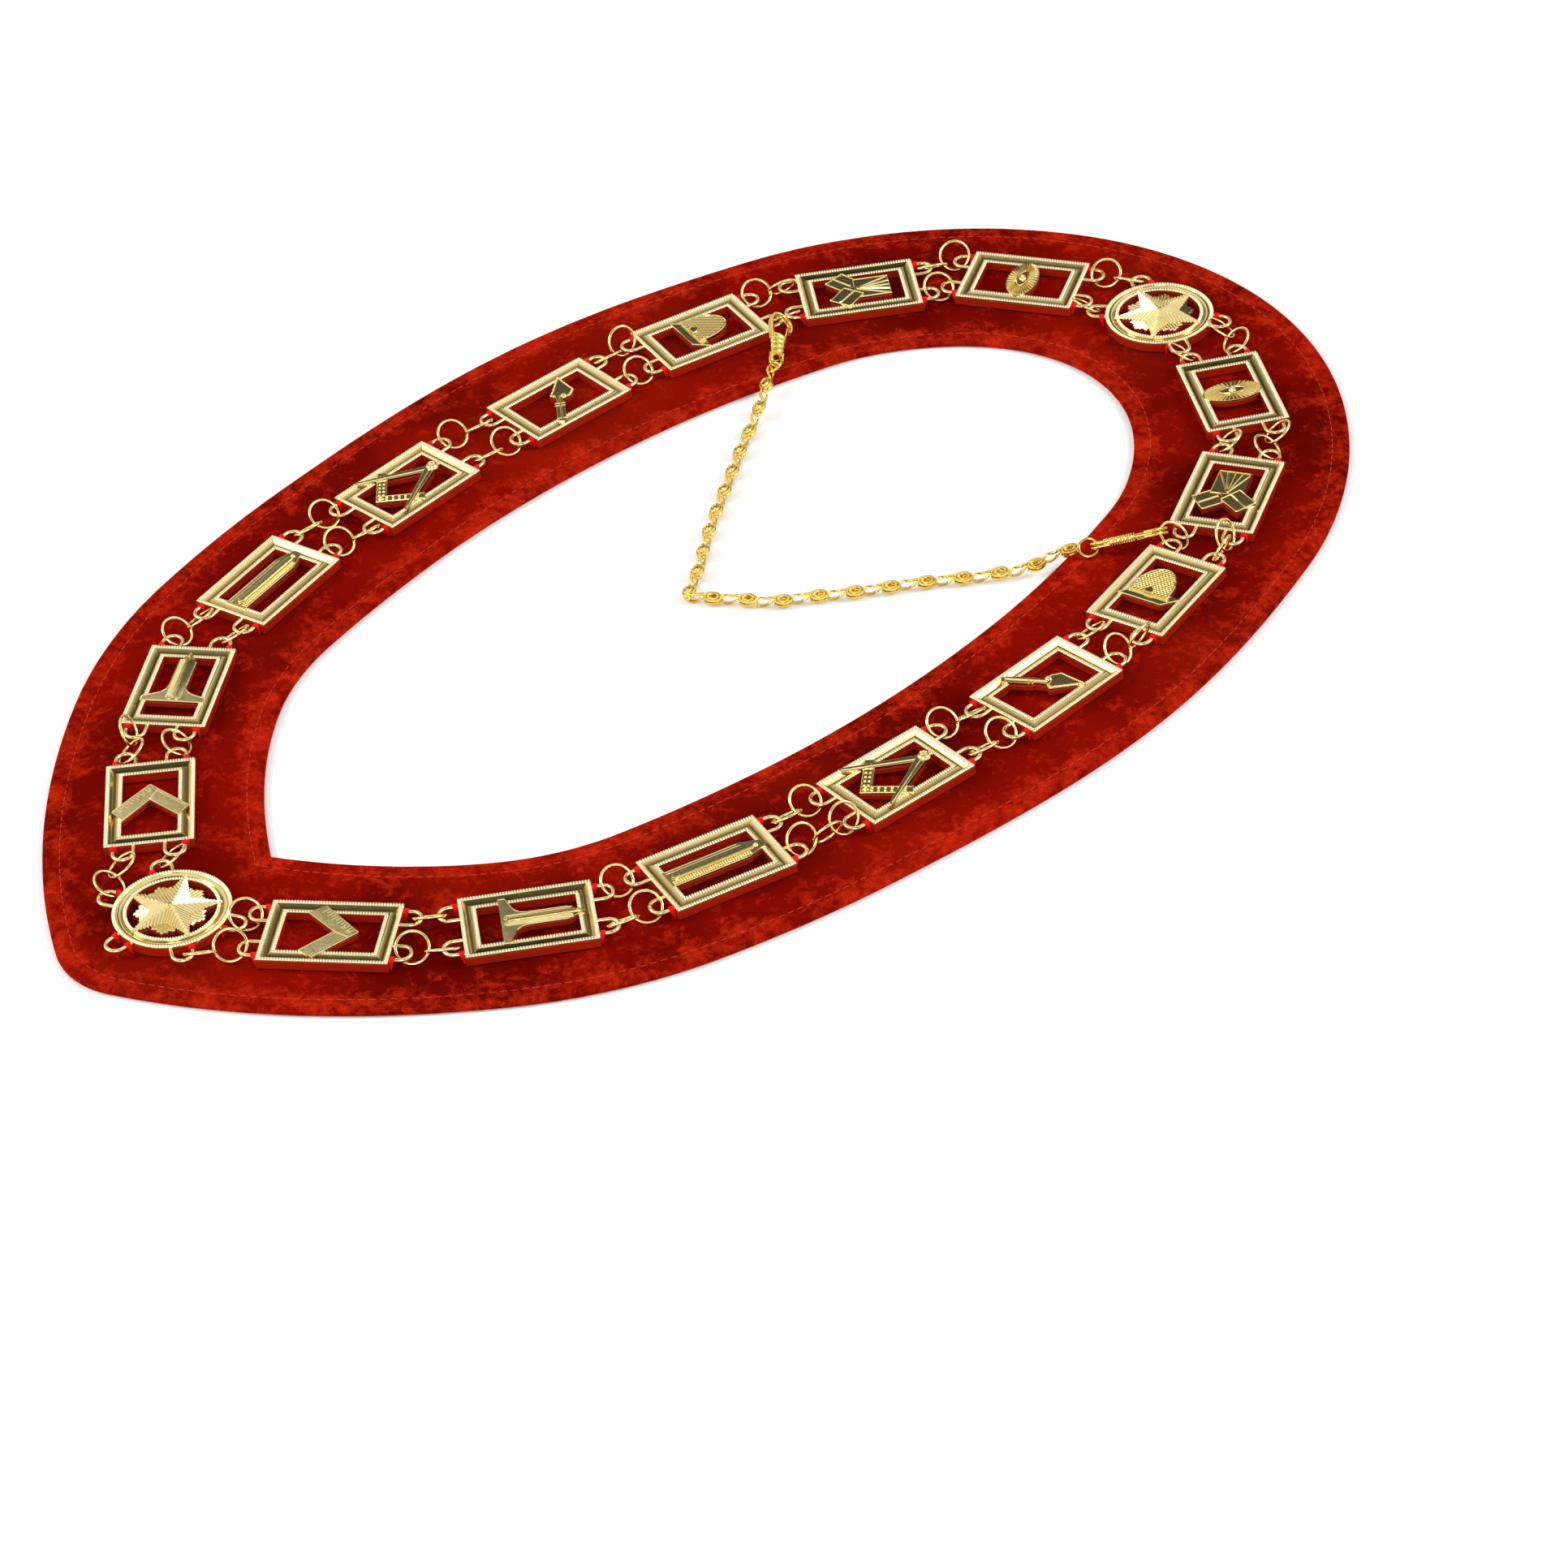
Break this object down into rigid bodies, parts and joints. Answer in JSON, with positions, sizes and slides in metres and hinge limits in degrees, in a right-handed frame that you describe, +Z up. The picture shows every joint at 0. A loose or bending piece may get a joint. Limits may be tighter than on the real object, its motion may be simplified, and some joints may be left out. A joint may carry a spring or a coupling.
{
  "type": "ceremonial chain collar",
  "caption": "Flat velvet collar with a V front, carrying openwork cast plaques and star roundels joined by jump rings, with a light chain and sprung hooks across the neck.",
  "frame": {"origin": "under the middle of the whole collar, on the surface that it lies on", "axes": "+Z up off that surface, +Y from the V front to the back of the neck, +X to the side that is on the right when seen from above with the V front nearest"},
  "size_m": [0.3458, 0.5512, 0.0151],
  "materials": {
    "crimson_velvet": "short crushed pile",
    "pale_gold": "polished pale gold plating with bright beaded rims",
    "yellow_gold": "polished yellow gold plating"
  },
  "bodies": {
    "root": {"velvet_collar": "crimson_velvet", "plaque_l1_set_square": "pale_gold", "plaque_l2_level": "pale_gold", "plaque_l3_plumb_rule": "pale_gold", "plaque_l4_compasses": "pale_gold", "plaque_l5_trowel": "pale_gold", "plaque_l6_beehive": "pale_gold", "plaque_l7_crossed_tools": "pale_gold", "plaque_l8_eye": "pale_gold", "plaque_r1_set_square": "pale_gold", "plaque_r2_level": "pale_gold", "plaque_r3_plumb_rule": "pale_gold", "plaque_r4_compasses": "pale_gold", "plaque_r5_trowel": "pale_gold", "plaque_r6_beehive": "pale_gold", "plaque_r7_crossed_tools": "pale_gold", "plaque_r8_eye": "pale_gold", "rings_l_inner_0": "yellow_gold", "rings_l_inner_1": "yellow_gold", "rings_l_inner_2": "yellow_gold", "rings_l_inner_3": "yellow_gold", "rings_l_inner_4": "yellow_gold", "rings_l_inner_5": "yellow_gold", "rings_l_inner_6": "yellow_gold", "rings_l_inner_7": "yellow_gold", "rings_l_inner_8": "yellow_gold", "rings_l_outer_0": "yellow_gold", "rings_l_outer_1": "yellow_gold", "rings_l_outer_2": "yellow_gold", "rings_l_outer_3": "yellow_gold", "rings_l_outer_4": "yellow_gold", "rings_l_outer_5": "yellow_gold", "rings_l_outer_6": "yellow_gold", "rings_l_outer_7": "yellow_gold", "rings_l_outer_8": "yellow_gold", "rings_r_inner_0": "yellow_gold", "rings_r_inner_1": "yellow_gold", "rings_r_inner_2": "yellow_gold", "rings_r_inner_3": "yellow_gold", "rings_r_inner_4": "yellow_gold", "rings_r_inner_5": "yellow_gold", "rings_r_inner_6": "yellow_gold", "rings_r_inner_7": "yellow_gold", "rings_r_inner_8": "yellow_gold", "rings_r_outer_0": "yellow_gold", "rings_r_outer_1": "yellow_gold", "rings_r_outer_2": "yellow_gold", "rings_r_outer_3": "yellow_gold", "rings_r_outer_4": "yellow_gold", "rings_r_outer_5": "yellow_gold", "rings_r_outer_6": "yellow_gold", "rings_r_outer_7": "yellow_gold", "rings_r_outer_8": "yellow_gold", "roundel_front": "pale_gold", "roundel_back": "pale_gold", "hook_left": "yellow_gold", "hook_right": "yellow_gold", "back_chain": "yellow_gold"}
  },
  "joints": []
}
